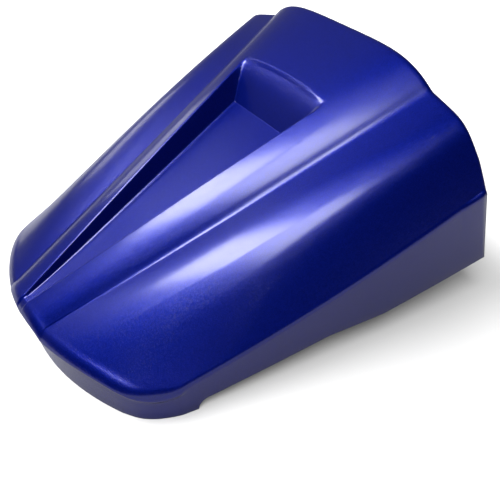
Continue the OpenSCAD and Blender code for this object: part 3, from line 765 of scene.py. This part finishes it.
class CowlStage(PropertyGroup):
    """Floor, lamps and camera."""

    floor: FloatVectorProperty(name="Floor", description="Colour of the floor", subtype="COLOR",
                               size=3, min=0, max=1, default=(0.45, 0.45, 0.45))
    floor_lift: FloatProperty(name="Floor lift", min=0, max=1, default=0.1,
                              description="Light that the floor adds where it is seen")
    far_lift: FloatProperty(name="Far lift", description="The same away from the object",
                            min=0, max=1, default=1)
    lift_from: FloatProperty(name="Lift from", unit="LENGTH", min=0, default=0.15,
                             description="Distance at which the lift starts to grow")
    lift_to: FloatProperty(name="Lift to", description="Distance at which it has grown",
                           unit="LENGTH", min=0, default=0.42)
    lamp_watts: FloatProperty(name="Lamp", description="Power of the lamp overhead", unit="POWER",
                              min=0, default=25)
    lamp_at: FloatVectorProperty(name="Lamp place", description="Middle of the lamp overhead",
                                 unit="LENGTH", size=3, default=(-0.25, -0.37, 0.95))
    lamp_along: FloatVectorProperty(name="Lamp turn", description="Direction of its long side",
                                    subtype="DIRECTION", size=3, default=(1, 0.05, 0))
    lamp_size: FloatVectorProperty(name="Lamp size", description="Length and width of the lamp",
                                   unit="LENGTH", size=2, default=(0.8, 0.24))
    dim_watts: FloatProperty(name="Dim lamp", description="Power of the dimmer lamp beside it",
                             unit="POWER", min=0, default=13)
    dim_at: FloatVectorProperty(name="Dim lamp place", description="Middle of the dimmer lamp",
                                unit="LENGTH", size=3, default=(0.42, -0.29, 0.95))
    dim_size: FloatVectorProperty(name="Dim lamp size", description="Length and width of that lamp",
                                  unit="LENGTH", size=2, default=(0.54, 0.3))
    side_watts: FloatProperty(name="Side lamp", description="Power of the small lamp on the left",
                              unit="POWER", min=0, default=1.3)
    side_at: FloatVectorProperty(name="Side lamp place", description="Middle of the small lamp",
                                 unit="LENGTH", size=3, default=(-0.93, -0.08, 0.4))
    side_size: FloatVectorProperty(name="Side lamp size", unit="LENGTH", size=2, default=(0.3, 0.2),
                                   description="Length and width of that lamp")
    sky: FloatProperty(name="Sky", description="Strength of the backdrop on the left", min=0,
                       default=0.45)
    dusk: FloatProperty(name="Dusk", description="Strength of the dim sides of the room", min=0,
                        default=0.01)
    backdrop_towards: FloatVectorProperty(name="Backdrop", description="Direction of the backdrop",
                                          subtype="DIRECTION", size=3, default=(-0.98, 0.17, 0.1))
    camera_at: FloatVectorProperty(name="Camera", description="Place of the camera", unit="LENGTH",
                                   size=3, default=(0.29213, -0.16615, 0.29885))
    camera_turn: FloatVectorProperty(name="Camera turn", description="Turn of the camera",
                                     subtype="EULER", unit="ROTATION", size=3,
                                     default=(math.radians(49.7), 0, math.radians(55.75)))
    lens: FloatProperty(name="Lens", description="Focal length in millimetres", min=10, max=200,
                        default=43.8)


class COWL_OT_shell(Operator):
    """Build the painted shell in place of its node"""

    bl_idname = "cowl.shell"
    bl_label = "Painted shell"

    def execute(self, context):
        points, quads = shell_mesh()
        paint = metallic_paint(context.scene.cowl_paint)
        new_piece("painted_shell", points, quads, paint, "cowl_shell")
        return {"FINISHED"}


class COWL_OT_tray(Operator):
    """Finish the tray with its tongues"""

    bl_idname = "cowl.tray"
    bl_label = "Tray"

    def execute(self, context):
        finish_nodes(["under_tray"], black_moulding())
        return {"FINISHED"}


class COWL_OT_striker(Operator):
    """Finish the latch striker and its fasteners, and the tray's screws"""

    bl_idname = "cowl.striker"
    bl_label = "Striker and fasteners"

    def execute(self, context):
        kinds = ("latch", "striker", "tray_screw")
        names = [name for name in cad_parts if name.startswith(kinds)]
        finish_nodes(names, zinc_plate())
        return {"FINISHED"}


class COWL_OT_dampers(Operator):
    """Finish the rubber dampers"""

    bl_idname = "cowl.dampers"
    bl_label = "Dampers"

    def execute(self, context):
        names = [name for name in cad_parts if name.startswith("damper")]
        finish_nodes(names, damper_rubber())
        return {"FINISHED"}


def area_lamp(name, place, target, along, size, watts):
    """Long area lamp that faces its target, with its long side turned along a direction."""
    light = bpy.data.lights.new(name, "AREA")
    light.shape = "RECTANGLE"
    light.size, light.size_y = size
    light.energy = watts
    lamp = bpy.data.objects.new(name, light)
    bpy.context.scene.collection.objects.link(lamp)
    back = (Vector(place) - Vector(target)).normalized()
    side = (Vector(along) - Vector(along).project(back)).normalized()
    turn = Matrix((side, back.cross(side), back)).transposed()
    lamp.matrix_world = Matrix.Translation(place) @ turn.to_4x4()


def seen_directly(nodes):
    """One for rays from the camera, from gloss and through glass, and nothing for others."""
    path = nodes.add("ShaderNodeLightPath").outputs
    seen = path["Is Camera Ray"]
    for kind in ("Is Glossy Ray", "Is Transmission Ray"):
        seen = nodes.add("ShaderNodeMath", {0: seen, 1: path[kind]}, operation="MAXIMUM").outputs[0]
    return seen


def floor_material(stage):
    """White floor. Where it is seen it is lifted, and more so away from the object, so that it
    meets the white backdrop."""
    nodes = Nodes(bpy.data.materials.new("floor"))
    away = nodes.add("ShaderNodeVectorMath", {0: nodes.place()}, operation="LENGTH")
    grown = nodes.span(away.outputs["Value"], stage.floor_lift, stage.far_lift,
                       over=(stage.lift_from, stage.lift_to), curve="SMOOTHSTEP")
    lift = nodes.add("ShaderNodeMath", {0: seen_directly(nodes), 1: grown}, operation="MULTIPLY")
    return nodes.shade(Base_Color=(*stage.floor, 1), Roughness=0.8, Specular_IOR_Level=0.0,
                       Emission_Color=(1, 1, 1, 1), Emission_Strength=lift.outputs[0])


def studio_sky(stage):
    """Room round the stage: a light backdrop on the left, dim sides, and white to the camera."""
    nodes = Nodes(bpy.data.worlds.new("sky"))
    towards = {0: nodes.add("ShaderNodeTexCoord").outputs["Generated"], 1: stage.backdrop_towards}
    side = nodes.add("ShaderNodeVectorMath", towards, operation="DOT_PRODUCT").outputs["Value"]
    level = nodes.span(side, stage.dusk, stage.sky, over=BACKDROP_FADE, curve="SMOOTHSTEP")
    camera = nodes.add("ShaderNodeLightPath").outputs["Is Camera Ray"]
    seen = nodes.add("ShaderNodeMath", {0: level, 1: camera}, operation="MAXIMUM")
    return nodes.shade("Background", Color=(1, 1, 1, 1), Strength=seen.outputs[0])


class COWL_OT_stage(Operator):
    """Set up the floor, the lamps, the backdrop and the camera"""

    bl_idname = "cowl.stage"
    bl_label = "Stage"

    def execute(self, context):
        scene = context.scene
        stage = scene.cowl_stage
        corners = ((-1, -1), (1, -1), (1, 1), (-1, 1))
        mesh = bpy.data.meshes.new("floor")
        mesh.from_pydata([(x * FLOOR_REACH, y * FLOOR_REACH, 0) for x, y in corners], [],
                         [(0, 1, 2, 3)])
        mesh.materials.append(floor_material(stage))
        floor = bpy.data.objects.new("floor", mesh)
        scene.collection.objects.link(floor)
        middle = (0, 0, CAD_BOX[1][2] / 2)
        long_way = stage.lamp_along
        area_lamp("lamp", stage.lamp_at, middle, long_way, stage.lamp_size, stage.lamp_watts)
        area_lamp("dim_lamp", stage.dim_at, middle, long_way, stage.dim_size, stage.dim_watts)
        area_lamp("side_lamp", stage.side_at, middle, (0, 1, 0), stage.side_size, stage.side_watts)
        scene.world = studio_sky(stage)
        camera = bpy.data.cameras.new("camera")
        camera.lens = stage.lens
        camera.sensor_width = SENSOR_WIDTH
        camera.clip_start = CLIP_START
        eye = bpy.data.objects.new("camera", camera)
        scene.collection.objects.link(eye)
        eye.location = stage.camera_at
        eye.rotation_euler = stage.camera_turn
        scene.camera = eye
        scene.view_settings.view_transform = "Standard"
        return {"FINISHED"}


class COWL_PT_panel(Panel):
    """Panel that lists the steps of the seat cowl"""

    bl_idname = "COWL_PT_panel"
    bl_label = "Seat cowl"
    bl_space_type = "VIEW_3D"
    bl_region_type = "UI"
    bl_category = "Seat cowl"

    def draw(self, context):
        for step in STEPS:
            self.layout.operator(step.bl_idname)
        for group in (context.scene.cowl_paint, context.scene.cowl_stage):
            for name in group.bl_rna.properties.keys():
                if name not in ("rna_type", "name"):
                    self.layout.prop(group, name)


STEPS = (COWL_OT_shell, COWL_OT_tray, COWL_OT_striker, COWL_OT_dampers, COWL_OT_stage)
CLASSES = (CowlPaint, CowlStage, *STEPS, COWL_PT_panel)


def register():
    """Registers the classes and hangs the settings on the scene."""
    for cls in CLASSES:
        bpy.utils.register_class(cls)
    bpy.types.Scene.cowl_paint = PointerProperty(type=CowlPaint)
    bpy.types.Scene.cowl_stage = PointerProperty(type=CowlStage)


def unregister():
    """Takes the settings and the classes away again."""
    del bpy.types.Scene.cowl_stage
    del bpy.types.Scene.cowl_paint
    for cls in reversed(CLASSES):
        bpy.utils.unregister_class(cls)


def plain(box):
    """A box's two corners as plain lists of numbers."""
    return [[float(value) for value in corner] for corner in box]


def main():
    """Builds every piece and the stage."""
    register()
    bpy.ops.cowl.shell()
    bpy.ops.cowl.tray()
    bpy.ops.cowl.striker()
    bpy.ops.cowl.dampers()
    bpy.ops.cowl.stage()


if __name__ == "__main__":
    main()
